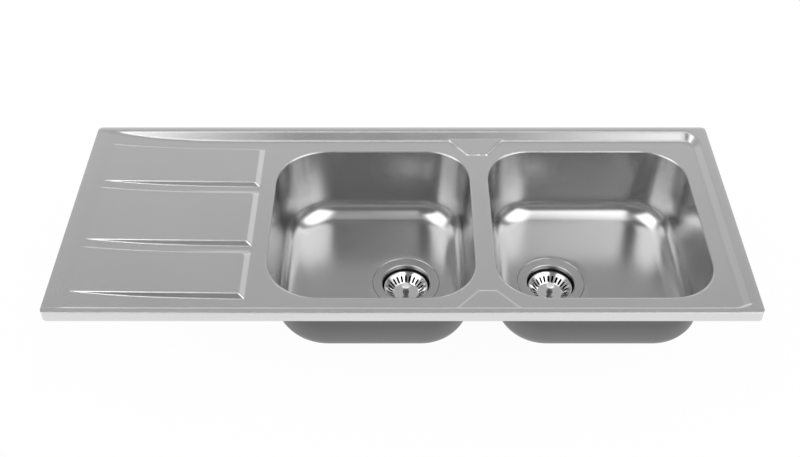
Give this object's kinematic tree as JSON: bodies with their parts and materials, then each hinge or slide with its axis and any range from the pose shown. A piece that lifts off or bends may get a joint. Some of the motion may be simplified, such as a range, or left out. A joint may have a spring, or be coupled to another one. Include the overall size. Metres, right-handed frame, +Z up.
{
  "type": "kitchen sink",
  "caption": "Inset stainless kitchen sink with side-by-side bowls, a channelled drainer and lift-out basket strainers over threaded waste outlets.",
  "frame": {"origin": "middle of the deck in plan, on the worktop plane under the sealing strip", "axes": "+X along the deck from the drainer to the bowls, +Y from front to back, +Z up"},
  "size_m": [1.16, 0.48, 0.2335],
  "materials": {
    "deck_steel": "satin",
    "bowl_steel": "satin",
    "bracket_steel": "mill",
    "foam_rubber": "matte",
    "pad_rubber": "matte",
    "seal_rubber": "matte",
    "cup_steel": "satin",
    "housing_plastic": "matte",
    "screw_steel": "machined",
    "insert_brass": "machined",
    "basket_chrome": "polished"
  },
  "bodies": {
    "sink": {"deck": "deck_steel", "fixing_brackets": "bracket_steel", "seal_strip": "foam_rubber", "left_bowl": "bowl_steel", "right_bowl": "bowl_steel", "left_sound_pad": "pad_rubber", "right_sound_pad": "pad_rubber", "left_flange_seal": "seal_rubber", "left_under_seal": "seal_rubber", "left_strainer_cup": "cup_steel", "left_waste_housing": "housing_plastic", "left_clamp_screw": "screw_steel", "left_housing_insert": "insert_brass", "right_flange_seal": "seal_rubber", "right_under_seal": "seal_rubber", "right_strainer_cup": "cup_steel", "right_waste_housing": "housing_plastic", "right_clamp_screw": "screw_steel", "right_housing_insert": "insert_brass"},
    "left_basket_unit": {"left_basket": "basket_chrome", "left_basket_knob": "basket_chrome", "left_stopper_seal": "seal_rubber", "left_stopper_washer": "screw_steel", "left_stem_ring": "seal_rubber"},
    "right_basket_unit": {"right_basket": "basket_chrome", "right_basket_knob": "basket_chrome", "right_stopper_seal": "seal_rubber", "right_stopper_washer": "screw_steel", "right_stem_ring": "seal_rubber"}
  },
  "joints": [
    {"name": "left_basket_lift", "type": "slide", "parent": "sink", "child": "left_basket_unit", "axis": [0, 0, 1], "range_m": [0, 0.22]},
    {"name": "right_basket_lift", "type": "slide", "parent": "sink", "child": "right_basket_unit", "axis": [0, 0, 1], "range_m": [0, 0.22]}
  ]
}
